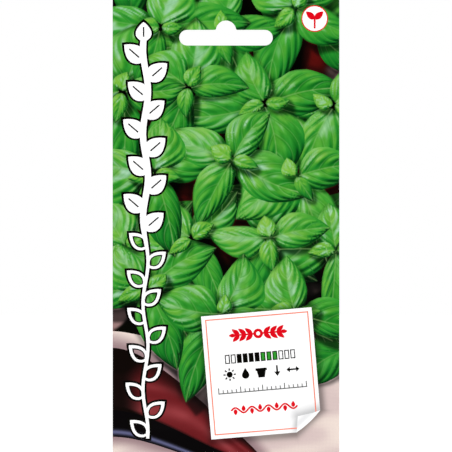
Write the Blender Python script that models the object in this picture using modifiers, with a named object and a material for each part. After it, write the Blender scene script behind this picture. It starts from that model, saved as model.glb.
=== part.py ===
"""A flat paper seed packet, upright as it hangs from a peg through the euro slot in its header.

The packet is two printed paper panels sealed to each other round a pocket, with loose seeds at
the bottom of the pocket. The origin is the highest point of the slot, where the peg bears. The
printed front faces -Y, +X is to its right, and +Z is up.
"""

import math
import random

import bmesh
import bpy
from mathutils import Matrix

MM = 0.001

# The outer sheet
PACKET_WIDTH = 80.0 * MM
PACKET_HEIGHT = 160.0 * MM
PAPER_THICKNESS = 0.15 * MM
PANEL_GAP = 0.3 * MM

# The seals round the pocket
SIDE_SEAL = 6.0 * MM
BOTTOM_SEAL = 8.0 * MM
HEADER_HEIGHT = 27.0 * MM

# The euro slot: a bar with round ends, and a round rise at its middle for the peg
SLOT_TOP_MARGIN = 7.5 * MM
SLOT_WIDTH = 33.0 * MM
SLOT_BAR_HEIGHT = 5.5 * MM
SLOT_RISE_RADIUS = 3.6 * MM
SLOT_RISE_HEIGHT = 3.3 * MM
SLOT_FILLET = 0.5 * MM
ARC_STEPS = 10
FILLET_STEPS = 3
CUTTER_DEPTH = 4.0 * MM

# How far each panel stands out from the flat: a little all over, and most over the seeds
PAPER_BULGE = 0.55 * MM
SEED_BULGE = 1.0 * MM
SEED_BULGE_PLACE = 0.1

# The seeds lie in an oval pile at the bottom of the pocket
SEED_LENGTH = 2.3 * MM
SEED_WIDTH = 1.6 * MM
SEED_THICKNESS = 1.2 * MM
SEED_COLUMN_STEP = 2.15 * MM
SEED_ROW_STEP = 1.5 * MM
SEED_PLACE_JITTER = 0.12
SEED_TURN = 0.6
PANEL_CLEARANCE = 0.3 * MM
PILE_HALF_WIDTH = 22.0 * MM
PILE_HALF_HEIGHT = 6.0 * MM
PILE_CORE_THICKNESS = 0.3 * MM
PILE_CORE_SIDES = 28
PILE_BASE = 3.0 * MM

# The panels' meshes
POCKET_COLUMNS = 14
POCKET_ROWS = 26

TOP = SLOT_TOP_MARGIN
BOTTOM = TOP - PACKET_HEIGHT
HALF_WIDTH = PACKET_WIDTH / 2
POCKET_TOP = TOP - HEADER_HEIGHT
POCKET_BOTTOM = BOTTOM + BOTTOM_SEAL
POCKET_HALF_WIDTH = HALF_WIDTH - SIDE_SEAL
PILE_MIDDLE = POCKET_BOTTOM + PILE_BASE + PILE_HALF_HEIGHT

PRINT_GREEN = (0.06, 0.33, 0.05)
BACK_WHITE = (0.88, 0.88, 0.85)
SEED_BROWN = (0.025, 0.018, 0.014)


def clear_scene():
    for old in list(bpy.data.objects):
        bpy.data.objects.remove(old, do_unlink=True)


def new_collection(name):
    made = bpy.data.collections.new(name)
    bpy.context.scene.collection.children.link(made)
    return made


def new_material(name, colour, roughness):
    material = bpy.data.materials.new(name)
    material.use_nodes = True
    shader = material.node_tree.nodes["Principled BSDF"]
    shader.inputs["Base Color"].default_value = (*colour, 1.0)
    shader.inputs["Roughness"].default_value = roughness
    shader.inputs["Metallic"].default_value = 0.0
    return material


def new_object(name, mesh, collection):
    made = bpy.data.objects.new(name, mesh)
    collection.objects.link(made)
    return made


def pocket_depth(x, z):
    """How far a panel stands out at (x, z): nothing on the seals, most over the seeds."""
    across = 1.0 - (x / POCKET_HALF_WIDTH) ** 2
    along = (z - POCKET_BOTTOM) / (POCKET_TOP - POCKET_BOTTOM)
    if across <= 0.0 or not 0.0 < along < 1.0:
        return 0.0
    paper = PAPER_BULGE * 4.0 * along * (1.0 - along)
    rise = along / SEED_BULGE_PLACE
    seeds = SEED_BULGE * rise * math.exp(1.0 - rise)
    return across * (paper + seeds)


def arc(centre_x, centre_z, radius, first, last, steps):
    """Points along an arc between two angles, as (x, z)."""
    for step in range(steps + 1):
        angle = first + (last - first) * step / steps
        yield centre_x + radius * math.cos(angle), centre_z + radius * math.sin(angle)


def slot_outline():
    """The euro slot's outline as (x, z) points, anticlockwise from its lower right."""
    end_radius = SLOT_BAR_HEIGHT / 2
    end_centre = SLOT_WIDTH / 2 - end_radius
    bar_middle = -SLOT_RISE_HEIGHT - end_radius
    rise_middle = -SLOT_RISE_RADIUS
    fillet_middle = SLOT_FILLET - SLOT_RISE_HEIGHT
    reach = SLOT_RISE_RADIUS + SLOT_FILLET
    lean = math.asin((fillet_middle - rise_middle) / reach)
    fillet_centre = reach * math.cos(lean)
    quarter = math.pi / 2
    return [
        *arc(end_centre, bar_middle, end_radius, -quarter, quarter, ARC_STEPS),
        *arc(fillet_centre, fillet_middle, SLOT_FILLET, -quarter, lean - math.pi, FILLET_STEPS),
        *arc(0.0, rise_middle, SLOT_RISE_RADIUS, lean, math.pi - lean, ARC_STEPS),
        *arc(-fillet_centre, fillet_middle, SLOT_FILLET, -lean, -quarter, FILLET_STEPS),
        *arc(-end_centre, bar_middle, end_radius, quarter, 3 * quarter, ARC_STEPS),
    ]


def mesh_from_curve(name, curve_object, collection):
    """A mesh object of the curve's shape, with its caps joined on. The curve is removed."""
    graph = bpy.context.evaluated_depsgraph_get()
    mesh = bpy.data.meshes.new_from_object(curve_object.evaluated_get(graph))
    shape = bmesh.new()
    shape.from_mesh(mesh)
    bmesh.ops.remove_doubles(shape, verts=shape.verts, dist=0.001 * MM)
    bmesh.ops.recalc_face_normals(shape, faces=shape.faces)
    shape.to_mesh(mesh)
    shape.free()
    made = new_object(name, mesh, collection)
    made.matrix_world = curve_object.matrix_world.copy()
    bpy.data.objects.remove(curve_object, do_unlink=True)
    return made


def slot_cutter(collection):
    """The euro slot as a prism through the header, along Y."""
    outline = bpy.data.curves.new("slot_outline", "CURVE")
    outline.dimensions = "2D"
    outline.fill_mode = "BOTH"
    outline.extrude = CUTTER_DEPTH / 2
    spline = outline.splines.new("POLY")
    points = slot_outline()
    spline.points.add(len(points) - 1)
    for point, (x, z) in zip(spline.points, points):
        point.co = (x, z, 0.0, 1.0)
    spline.use_cyclic_u = True
    flat = new_object("slot_outline", outline, collection)
    flat.rotation_euler = (math.pi / 2, 0.0, 0.0)
    bpy.context.view_layer.update()
    cutter = mesh_from_curve("slot_cutter", flat, collection)
    cutter.hide_render = True
    cutter.display_type = "WIRE"
    return cutter


def grid_line(index, stops):
    """The place of a grid line, where stops are (line number, place) pairs in order."""
    for (first, low), (last, high) in zip(stops, stops[1:]):
        if index <= last:
            return low + (high - low) * (index - first) / (last - first)
    return stops[-1][1]


def panel(name, side, material, cutter, collection):
    """One paper panel. side is -1 for the front and 1 for the back."""
    columns = POCKET_COLUMNS + 2
    rows = POCKET_ROWS + 2
    across = [
        (0, -HALF_WIDTH),
        (1, -POCKET_HALF_WIDTH),
        (columns - 1, POCKET_HALF_WIDTH),
        (columns, HALF_WIDTH),
    ]
    upwards = [
        (0, BOTTOM),
        (1, POCKET_BOTTOM),
        (rows - 1, POCKET_TOP),
        (rows, TOP),
    ]
    shape = bmesh.new()
    bmesh.ops.create_grid(shape, x_segments=columns, y_segments=rows, size=1.0)
    for vertex in shape.verts:
        column = round((vertex.co.x + 1.0) / 2.0 * columns)
        row = round((vertex.co.y + 1.0) / 2.0 * rows)
        x = grid_line(column, across)
        z = grid_line(row, upwards)
        vertex.co = (x, side * (PANEL_GAP / 2 + pocket_depth(x, z)), z)
    bmesh.ops.triangulate(shape, faces=shape.faces)
    for face in shape.faces:
        face.normal_update()
        if face.normal.y * side < 0.0:
            face.normal_flip()
    mesh = bpy.data.meshes.new(name)
    shape.to_mesh(mesh)
    shape.free()
    mesh.materials.append(material)
    made = new_object(name, mesh, collection)
    paper = made.modifiers.new("paper", "SOLIDIFY")
    paper.thickness = PAPER_THICKNESS
    paper.offset = 1.0
    paper.use_even_offset = True
    slot = made.modifiers.new("euro_slot", "BOOLEAN")
    slot.operation = "DIFFERENCE"
    slot.solver = "EXACT"
    slot.object = cutter
    return made


def seed_places():
    """(x, z, turn) of each seed: offset rows that fill the oval, each seed moved a little."""
    draw = random.Random(7)
    rows = int(2 * PILE_HALF_HEIGHT / SEED_ROW_STEP)
    for row in range(rows):
        height = (row - (rows - 1) / 2) * SEED_ROW_STEP
        reach = PILE_HALF_WIDTH * math.sqrt(1.0 - (height / PILE_HALF_HEIGHT) ** 2)
        columns = int(2 * reach / SEED_COLUMN_STEP)
        for column in range(columns):
            shift = draw.uniform(-SEED_PLACE_JITTER, SEED_PLACE_JITTER)
            x = (column - (columns - 1) / 2 + shift) * SEED_COLUMN_STEP
            shift = draw.uniform(-SEED_PLACE_JITTER, SEED_PLACE_JITTER)
            z = PILE_MIDDLE + height + shift * SEED_ROW_STEP
            yield x, z, draw.uniform(-SEED_TURN, SEED_TURN)


def pile_core(material, collection):
    """The thin oval slab that the seeds stand out of."""
    shape = bmesh.new()
    bmesh.ops.create_cone(
        shape,
        cap_ends=True,
        segments=PILE_CORE_SIDES,
        radius1=1.0,
        radius2=1.0,
        depth=PILE_CORE_THICKNESS,
    )
    bmesh.ops.rotate(shape, verts=shape.verts, matrix=Matrix.Rotation(math.pi / 2, 3, "X"))
    size = (PILE_HALF_WIDTH, 1.0, PILE_HALF_HEIGHT - SEED_WIDTH / 2)
    bmesh.ops.scale(shape, verts=shape.verts, vec=size)
    mesh = bpy.data.meshes.new("seeds")
    shape.to_mesh(mesh)
    shape.free()
    mesh.materials.append(material)
    core = new_object("seeds", mesh, collection)
    core.location = (0.0, 0.0, PILE_MIDDLE)
    return core


def seed_mesh(material):
    """One seed: a low ball, scaled to a flat oval when it is placed."""
    shape = bmesh.new()
    bmesh.ops.create_icosphere(shape, subdivisions=1, radius=0.5)
    mesh = bpy.data.meshes.new("one_seed")
    shape.to_mesh(mesh)
    shape.free()
    mesh.materials.append(material)
    return mesh


def seeds(material, collection):
    """The pile of seeds as one solid, in the room between the panels."""
    core = pile_core(material, collection)
    loose = new_collection("loose_seeds")
    shared = seed_mesh(material)
    for number, (x, z, turn) in enumerate(seed_places()):
        room = 2 * (pocket_depth(x, z) + PANEL_GAP / 2 - PANEL_CLEARANCE)
        seed = new_object(f"seed_{number:03d}", shared, loose)
        seed.location = (x, 0.0, z)
        seed.rotation_euler = (0.0, turn, 0.0)
        seed.scale = (SEED_LENGTH, min(SEED_THICKNESS, room), SEED_WIDTH)
    union = core.modifiers.new("fuse", "BOOLEAN")
    union.operation = "UNION"
    union.operand_type = "COLLECTION"
    union.collection = loose
    union.solver = "EXACT"
    union.use_self = True
    bpy.context.view_layer.update()
    graph = bpy.context.evaluated_depsgraph_get()
    fused = bpy.data.meshes.new_from_object(core.evaluated_get(graph))
    core.modifiers.clear()
    core.data = fused
    for seed in list(loose.objects):
        bpy.data.objects.remove(seed, do_unlink=True)
    bpy.data.collections.remove(loose)
    return core


def main():
    clear_scene()
    packet = new_collection("seed_packet")
    cutters = new_collection("cutters")
    print_green = new_material("printed_front", PRINT_GREEN, 0.4)
    back_white = new_material("printed_back", BACK_WHITE, 0.45)
    seed_brown = new_material("seed_coat", SEED_BROWN, 0.7)
    cutter = slot_cutter(cutters)
    panel("front_panel", -1, print_green, cutter, packet)
    panel("back_panel", 1, back_white, cutter, packet)
    seeds(seed_brown, packet)


main()
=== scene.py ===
"""The looks of a paper seed packet: its printed front and back, and the studio round it.

The print is part of each panel's surface. Its shapes are laid out in print space, in millimetres:
x from the packet's middle, to the right as that face is seen, and h up from the bottom edge. A
panel's mesh is cut along the shapes, a later shape hides an earlier one, and each corner of each
face is inked.
"""

import math
from collections import namedtuple

import bpy
import numpy as np
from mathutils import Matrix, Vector, kdtree
from mathutils.geometry import delaunay_2d_cdt


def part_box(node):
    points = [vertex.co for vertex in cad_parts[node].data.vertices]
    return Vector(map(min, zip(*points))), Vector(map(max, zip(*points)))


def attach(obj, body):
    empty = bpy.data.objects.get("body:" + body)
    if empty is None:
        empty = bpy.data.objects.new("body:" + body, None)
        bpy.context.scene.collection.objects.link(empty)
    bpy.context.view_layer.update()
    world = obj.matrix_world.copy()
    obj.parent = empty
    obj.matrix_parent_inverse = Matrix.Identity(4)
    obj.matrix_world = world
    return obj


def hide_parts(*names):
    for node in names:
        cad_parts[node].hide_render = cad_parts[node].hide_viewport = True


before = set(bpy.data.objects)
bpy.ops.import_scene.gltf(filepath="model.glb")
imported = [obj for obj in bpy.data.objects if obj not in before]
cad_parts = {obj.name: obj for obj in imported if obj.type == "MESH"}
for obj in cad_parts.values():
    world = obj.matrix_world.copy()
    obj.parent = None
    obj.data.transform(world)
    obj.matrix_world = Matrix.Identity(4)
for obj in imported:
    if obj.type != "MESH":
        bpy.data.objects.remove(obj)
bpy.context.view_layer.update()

MM = 0.001
FRONT = -1
BACK = 1

# The packet, from the frame and from the values that its construction uses
LOW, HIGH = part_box("front_panel")
BOTTOM = LOW.z
WIDTH = (HIGH.x - LOW.x) / MM
HEIGHT = (HIGH.z - LOW.z) / MM
HALF = WIDTH / 2
SIDE_SEAL = 6.0
BOTTOM_SEAL = 8.0
HEADER = 27.0
PAPER = 0.15
SEAL_GAP = 0.03
PAPER_BULGE = 0.55
SEED_BULGE = 1.0
SEED_BULGE_PLACE = 0.1
RIPPLE = 0.08
RIPPLE_FADE = 6.0
SEED_BUMP = 0.06

# The pile of seeds behind the paper
PILE_LOW, PILE_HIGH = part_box("seeds")
PILE_HALF_WIDTH = (PILE_HIGH.x - PILE_LOW.x) / 2 / MM
PILE_HALF_HEIGHT = (PILE_HIGH.z - PILE_LOW.z) / 2 / MM
PILE_MIDDLE = (PILE_LOW.z - BOTTOM) / MM + PILE_HALF_HEIGHT

# The euro slot
SLOT_APEX = -BOTTOM / MM
SLOT_WIDTH = 33.0
SLOT_BAR = 5.5
SLOT_RISE_RADIUS = 3.6
SLOT_RISE = 3.3
SLOT_FILLET = 0.5

# Mesh spacing over the pictures, over plain paper, and inside
FINE = 0.40
COARSE = 1.8
LINING = 2.5
LONGEST_EDGE = 1.5
CLEAR_OF_EDGES = 0.16
MERGED = 1e-5
SHARP = math.radians(40)

# A shape's shade is read this far in from each corner towards its triangle's middle
SHADE_PULL = 0.28

# The shares of the bake's map that the print and the bare paper take
PRINT_SHARE = 0.93
BARE_FROM = PRINT_SHARE + 0.02
BARE_WIDTH = 0.96 - PRINT_SHARE

# Inks
LEAF_DEEP = (2, 60, 18)
LEAF_DARK = (20, 116, 34)
LEAF_MID = (48, 148, 46)
LEAF_LIGHT = (84, 170, 60)
LEAF_PALE = (120, 186, 96)
LEAF_SHINE = (154, 204, 166)
LEAF_YOUNG = (140, 190, 62)
GROUND_BLACK = (3, 4, 0)
GROUND_RED = (84, 12, 10)
GROUND_PINK = (150, 118, 116)
WINE = (102, 24, 28)
WINE_LIGHT = (146, 58, 62)
WINE_DARK = (10, 3, 1)
BAND_BLACK = (3, 1, 2)
SLATE = (96, 98, 134)
BLUSH = (234, 218, 208)
BLUSH_SHADE = (210, 189, 186)
BLUSH_DEEP = (136, 108, 114)
WHITE = (255, 255, 255)
BLACK = (3, 2, 0)
RED = (218, 8, 26)
SALMON = (240, 130, 106)
GREY = (84, 84, 84)
CURL_GREY = (230, 230, 231)
SHADOW_GREY = (196, 196, 197)

# How much faster red and blue fade in a leaf's shadow than green does
LEAF_SHADOW_POWERS = (1.4, 1.0, 1.25)

# The panels' finish: a satin front, a dull back, and little reflection from either
FRONT_ROUGHNESS = 0.22
BACK_ROUGHNESS = 0.85
INK_SPECULAR = 0.03

# The light in the printed picture comes from the upper left
PICTURE_LIGHT = np.array((-0.39, 0.52, 0.76))


def linear(colour):
    """Screen colour from 0 to 255 as linear light from 0 to 1."""
    share = np.clip(np.asarray(colour, float) / 255.0, 0.0, 1.0)
    return np.where(share <= 0.04045, share / 12.92, ((share + 0.055) / 1.055) ** 2.4)


def smooth(value, low, high):
    """0 below low and 1 above high, with a soft change between."""
    share = np.clip((value - low) / (high - low), 0.0, 1.0)
    return share * share * (3.0 - 2.0 * share)


def blend(first, second, share):
    """Two colours, or arrays of them, mixed by a share for each point."""
    share = np.asarray(share)[..., None]
    return np.asarray(first, float) * (1.0 - share) + np.asarray(second, float) * share


def mottle(x, h, size, seed):
    """A soft random field from 0 to 1, with features about size across."""
    draw = np.random.default_rng(seed)
    total = np.zeros_like(x)
    for _ in range(7):
        angle = draw.uniform(0, math.tau)
        wave = draw.uniform(0.7, 1.8) * math.tau / (2.0 * size)
        phase = draw.uniform(0, math.tau)
        total += np.sin((x * math.cos(angle) + h * math.sin(angle)) * wave + phase)
    return 0.5 + 0.5 * np.tanh(total / 2.2)


# Outlines


def turned(points, centre, angle):
    """Points turned by the angle and moved to the centre."""
    c, s = math.cos(angle), math.sin(angle)
    return [(centre[0] + x * c - h * s, centre[1] + x * s + h * c) for x, h in points]


def turned_back(x, h, centre, angle):
    """Places as they lie from the centre, with the angle taken off."""
    c, s = math.cos(angle), math.sin(angle)
    x, h = x - centre[0], h - centre[1]
    return x * c + h * s, h * c - x * s


def moved(points, centre, scale=1.0):
    """Points scaled, and moved to the centre."""
    return [(centre[0] + x * scale, centre[1] + h * scale) for x, h in points]


def divided(outline, longest):
    """The outline with its long edges cut, so that it follows the paper."""
    points = []
    for a, b in zip(outline, outline[1:] + outline[:1]):
        steps = max(1, math.ceil(math.dist(a, b) / longest))
        for step in range(steps):
            share = step / steps
            points.append((a[0] + (b[0] - a[0]) * share, a[1] + (b[1] - a[1]) * share))
    return points


def arc(centre, radius, first, last, steps):
    angles = np.linspace(first, last, steps + 1)
    return [(centre[0] + radius * math.cos(a), centre[1] + radius * math.sin(a)) for a in angles]


def disc(centre, radius, steps=28):
    return arc(centre, radius, 0.0, math.tau, steps)[:-1]


def block(width, height, centre=(0.0, 0.0)):
    x, h = width / 2, height / 2
    return moved([(-x, -h), (x, -h), (x, h), (-x, h)], centre)


def rounded_block(width, height, radius, centre):
    points = []
    for corner, (x, h) in enumerate(((1, 1), (-1, 1), (-1, -1), (1, -1))):
        middle = (centre[0] + x * (width / 2 - radius), centre[1] + h * (height / 2 - radius))
        start = corner * math.pi / 2
        points += arc(middle, radius, start, start + math.pi / 2, 5)
    return points


def stroke(points, width):
    """The outline of a line along the points, of one or many widths."""
    path = np.asarray(points, float)
    along = np.gradient(path, axis=0)
    along /= np.linalg.norm(along, axis=1)[:, None]
    half = np.broadcast_to(np.asarray(width, float) / 2, len(path))[:, None]
    offset = np.stack((-along[:, 1], along[:, 0]), axis=1) * half
    return [*map(tuple, path - offset), *map(tuple, (path + offset)[::-1])]


def blade(base, angle, length, width, steps=11):
    """A simple pointed leaf from its base outwards."""
    shares = np.linspace(0.0, 1.0, steps)
    half = width / 2 * np.sin(np.pi * shares**0.8) ** 0.85
    right = list(zip(shares * length, -half))
    left = list(zip(shares[-2:0:-1] * length, half[-2:0:-1]))
    return turned(right + left, base, angle)


def rib(base, angle, length, shares, width):
    """A line along the middle of a blade, through shares of its length."""
    return stroke(turned([(share * length, 0.0) for share in shares], base, angle), width)


def search_tree(places):
    """A search tree of flat places."""
    tree = kdtree.KDTree(len(places))
    for index, (x, h) in enumerate(places):
        tree.insert((x, h, 0.0), index)
    tree.balance()
    return tree


def triangulated(places, outlines):
    """The points of a sheet cut along the outlines, and the whole cut."""
    cut = delaunay_2d_cdt([Vector(place) for place in places], [], outlines, 0, MERGED, True)
    return np.array([tuple(vertex) for vertex in cut[0]]), cut


def slot_outline():
    """The euro slot: a bar with round ends and a filleted round rise."""
    end = SLOT_BAR / 2
    end_x = SLOT_WIDTH / 2 - end
    bar_h = SLOT_APEX - SLOT_RISE - end
    rise_h = SLOT_APEX - SLOT_RISE_RADIUS
    fillet_h = SLOT_APEX + SLOT_FILLET - SLOT_RISE
    reach = SLOT_RISE_RADIUS + SLOT_FILLET
    lean = math.asin((fillet_h - rise_h) / reach)
    fillet_x = reach * math.cos(lean)
    quarter = math.pi / 2
    return [
        *arc((end_x, bar_h), end, -quarter, quarter, 14),
        *arc((fillet_x, fillet_h), SLOT_FILLET, -quarter, lean - math.pi, 4),
        *arc((0.0, rise_h), SLOT_RISE_RADIUS, lean, math.pi - lean, 18),
        *arc((-fillet_x, fillet_h), SLOT_FILLET, -lean, -quarter, 4),
        *arc((-end_x, bar_h), end, quarter, 3 * quarter, 14),
    ]


# The paper's form


def pocket_depth(x, h):
    """How far a panel stands out: nothing on the seals, most over the seeds."""
    across = 1.0 - (x / (HALF - SIDE_SEAL)) ** 2
    along = (h - BOTTOM_SEAL) / (HEIGHT - HEADER - BOTTOM_SEAL)
    inside = (across > 0.0) & (along > 0.0) & (along < 1.0)
    paper = PAPER_BULGE * 4.0 * along * (1.0 - along)
    rise = along / SEED_BULGE_PLACE
    seeds = SEED_BULGE * rise * np.exp(1.0 - rise)
    return np.where(inside, across * (paper + seeds), 0.0)


def ripples(x, h):
    """The lift of handled paper over the pocket, and low bumps over the seeds."""
    low, high = BOTTOM_SEAL, HEIGHT - HEADER
    inside = smooth(HALF - SIDE_SEAL - np.abs(x), 0.0, RIPPLE_FADE)
    inside = inside * smooth(h, low, low + RIPPLE_FADE) * smooth(-h, -high, RIPPLE_FADE - high)
    from_pile = np.hypot(x / PILE_HALF_WIDTH, (h - PILE_MIDDLE) / PILE_HALF_HEIGHT)
    over_seeds = 1.0 - smooth(from_pile, 0.7, 1.3)
    lift = RIPPLE * mottle(x, h, 17.0, 21) + SEED_BUMP * mottle(x, h, 2.2, 22) * over_seeds
    return lift * inside


def panel_points(x, h, side, below=0.0):
    """World places of print points on a panel's outer face, or below it."""
    out = SEAL_GAP / 2 + PAPER + pocket_depth(x, h) + ripples(x, h) - below
    return np.stack((-side * x * MM, side * out * MM, BOTTOM + h * MM), axis=1)


# Shapes of ink


def flat(colour):
    """A paint of one colour."""
    return lambda x, h: np.broadcast_to(np.asarray(colour, float), (len(x), 3))


def no_veins(x, h):
    return np.zeros((len(x), 3))


Shape = namedtuple("Shape", "paint veins group hole")


class Sheet:
    """The shapes printed on one face, in painting order, from its outline."""

    def __init__(self, paint):
        self.points = []
        self.outlines = []
        self.shapes = []
        self.add(block(WIDTH, HEIGHT, (0.0, HEIGHT / 2)), paint)

    def add(self, outline, paint, veins=no_veins, group=None, hole=False):
        """Adds a shape. A hole opens its group's shapes, and no paint means a cut."""
        area = sum(a[0] * b[1] - b[0] * a[1] for a, b in zip(outline, outline[1:] + outline[:1]))
        ordered = divided(outline if area > 0 else outline[::-1], LONGEST_EDGE)
        start = len(self.points)
        self.points.extend(ordered)
        self.outlines.append(list(range(start, len(self.points))))
        paint = flat(paint) if isinstance(paint, tuple) else paint
        self.shapes.append(Shape(paint, veins, group, hole))

    def owner(self, numbers):
        """The shape that shows where the numbered ones overlap, or -1 for no paper."""
        if 0 not in numbers:
            return -1
        open_groups = set()
        for number in sorted(numbers, reverse=True):
            shape = self.shapes[number]
            if shape.hole:
                open_groups.add(shape.group)
            elif shape.group not in open_groups:
                return number if shape.paint else -1
        return -1

    def fill_points(self, spacing):
        """Points over the sheet, clear of the outlines. The finest ones are staggered."""
        edges = []
        for outline in self.outlines:
            edges += divided([self.points[index] for index in outline], CLEAR_OF_EDGES)
        tree = search_tree(edges)
        rows, columns = int(HEIGHT / FINE), int(WIDTH / FINE)
        skip = round(spacing / FINE)
        kept = []
        for row in range(0, rows, skip):
            h = (row + 0.5) * HEIGHT / rows
            for column in range(0, columns, skip):
                x = -HALF + (column + 0.25 + 0.5 * (row % 2)) * WIDTH / columns
                if tree.find((x, h, 0.0))[2] > CLEAR_OF_EDGES:
                    kept.append((x, h))
        return kept

    def triangles(self, spacing):
        """Points, triangles and each triangle's owner."""
        points, cut = triangulated(self.points + self.fill_points(spacing), self.outlines)
        owners = np.array([self.owner(numbers) for numbers in cut[5]])
        return points, np.array(cut[2])[owners >= 0], owners[owners >= 0]


def ink_of(sheet, points, faces, owners, shading):
    """The screen colour and the vein values of each face corner."""
    corners = points[faces]
    middles = corners.mean(axis=1, keepdims=True)
    pulled = corners * (1.0 - SHADE_PULL) + middles * SHADE_PULL
    ink = np.zeros((len(faces), 3, 3))
    veins = np.zeros((len(faces), 3, 3))
    for owner in np.unique(owners):
        here = owners == owner
        x, h = corners[here].reshape(-1, 2).T
        ink[here] = sheet.shapes[owner].paint(x, h).reshape(-1, 3, 3)
        veins[here] = sheet.shapes[owner].veins(x, h).reshape(-1, 3, 3)
    if shading is not None:
        x, h = pulled.reshape(-1, 2).T
        ink *= shading(x, h, np.repeat(owners, 3)).reshape(-1, 3, 3)
    return ink, veins


def loops_round(faces):
    """The edges that only one face has, chained into loops, the longest first."""
    edges = {(a, b) for face in faces.tolist() for a, b in zip(face, face[1:] + face[:1])}
    after = {a: b for a, b in sorted(edges) if (b, a) not in edges}
    loops = []
    while after:
        start = min(after)
        loop = [start]
        while after[loop[-1]] != start:
            loop.append(after[loop[-1]])
        for place in loop:
            del after[place]
        loops.append(loop)
    return sorted(loops, key=len, reverse=True)


def lining(edge_points, outlines):
    """Points and triangles of the paper's inner face, and the edge point at each, or -1."""
    tree = search_tree(edge_points)
    fill = []
    for row in range(1, int(HEIGHT / LINING)):
        for column in range(1, int(WIDTH / LINING)):
            x, h = column * LINING - HALF + 0.5 * LINING * (row % 2), row * LINING
            if tree.find((x, h, 0.0))[2] > 0.6 * LINING and abs(x) < HALF:
                fill.append((x, h))
    points, cut = triangulated([*edge_points, *fill], outlines)
    faces = [face for face, shapes in zip(cut[2], cut[5]) if list(shapes) == [0]]
    used, faces = np.unique(faces, return_inverse=True)
    on_edge = [min(cut[3][place], default=-1) for place in used]
    return points[used], faces.reshape(-1, 3), [i if i < len(edge_points) else -1 for i in on_edge]


def inside_of(points, faces):
    """The paper's inner points, its inner triangles, and the faces of its cut edges."""
    loops = loops_round(faces)
    edge = [place for loop in loops for place in loop]
    outlines = []
    for loop in loops:
        start = sum(len(earlier) for earlier in outlines)
        outlines.append(list(range(start, start + len(loop))))
    outlines[1:] = [outline[::-1] for outline in outlines[1:]]
    inner, inner_faces, on_edge = lining(points[edge].tolist(), outlines)
    under = {edge[index]: len(points) + k for k, index in enumerate(on_edge) if index >= 0}
    rim = [(b, a, under[a], under[b]) for loop in loops for a, b in zip(loop, loop[1:] + loop[:1])]
    return inner, (inner_faces[:, ::-1] + len(points)).tolist(), rim


def inked_mesh(name, sheet, shading, side, spacing):
    """A sheet of paper, with ink and leaf veins at its outer face's corners."""
    points, faces, owners = sheet.triangles(spacing)
    used, faces = np.unique(faces, return_inverse=True)
    points, faces = points[used], faces.reshape(-1, 3)
    ink, veins = ink_of(sheet, points, faces, owners, shading)
    inner, lined, rim = inside_of(points, faces)

    mesh = bpy.data.meshes.new(name)
    places = np.concatenate((panel_points(*points.T, side), panel_points(*inner.T, side, PAPER)))
    mesh.from_pydata(places.tolist(), [], faces.tolist() + lined + rim)
    mesh.polygons.foreach_set("material_index", [0] * len(faces) + [1] * (len(lined) + len(rim)))

    colours = np.ones((len(mesh.loops), 4))
    colours[: faces.size, :3] = linear(ink.reshape(-1, 3))
    layer = mesh.color_attributes.new("ink", "FLOAT_COLOR", "CORNER")
    layer.data.foreach_set("color", colours.ravel())
    flows = np.zeros((len(mesh.loops), 3))
    flows[: faces.size] = veins.reshape(-1, 3)
    layer = mesh.attributes.new("veins", "FLOAT_VECTOR", "CORNER")
    layer.data.foreach_set("vector", flows.ravel())
    lay_out(mesh, np.concatenate((points, inner)), len(points), len(faces), len(lined))
    mesh.shade_smooth()
    mesh.set_sharp_from_angle(angle=SHARP)
    return mesh


def lay_out(mesh, points, outer_points, outer_faces, inner_faces):
    """The bake's map: the print, and beside it the inner face and cut edges."""
    flat_places = points / (WIDTH, HEIGHT) + (0.5, 0.0)
    corner = np.empty(len(mesh.loops), int)
    mesh.loops.foreach_get("vertex_index", corner)
    face = np.repeat(np.arange(len(mesh.polygons)), [len(p.vertices) for p in mesh.polygons])
    spread = flat_places[corner]
    printed = spread * (PRINT_SHARE, 1.0)
    beside = spread * (BARE_WIDTH, 0.9) + (BARE_FROM, 0.0)
    depth = (corner >= outer_points) * 1.0
    along = spread.mean(axis=1)
    on_rim = np.stack((BARE_FROM + 0.03 * depth, 0.92 + 0.07 * along), axis=1)
    where = np.where((face < outer_faces)[:, None], printed, beside)
    where = np.where((face >= outer_faces + inner_faces)[:, None], on_rim, where)
    mesh.uv_layers.new(name="OFBake").data.foreach_set("uv", np.clip(where, 0.0, 1.0).ravel())


# Printed leaves


# A printed leaf: where it starts, how it lies, and how it is lit
Leaf = namedtuple("Leaf", "base turn length width bend skew lean tone gloss young elevation grain")

# The inks of a leaf's print, from its shade to its light, and how lit each one is
LEAF_INKS = np.array((LEAF_DEEP, LEAF_DARK, LEAF_MID, LEAF_LIGHT, LEAF_PALE), float)
LEAF_STOPS = (0.04, 0.24, 0.56, 0.90, 1.04)
SLOPE_STEP = 0.12
LEAF_ROUND = 0.6
LEAF_POINT = 0.95
LEAF_VEINS = 4.2
VEIN_SWEEP = 0.60
VEIN_SPREAD = 0.5
VEIN_CURVE = 2.4


def leaf_profile(share):
    """A leaf's half width at each share of its length, from 0 to 1."""
    peak = LEAF_ROUND / (LEAF_ROUND + LEAF_POINT)
    share = np.clip(share, 0.0, 1.0)
    return (share / peak) ** LEAF_ROUND * ((1.0 - share) / (1.0 - peak)) ** LEAF_POINT


def midrib(leaf, share):
    """How far a leaf's midrib lies to one side, at each share of its length."""
    return leaf.bend * leaf.length * 4.0 * share * (1.0 - share)


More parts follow.
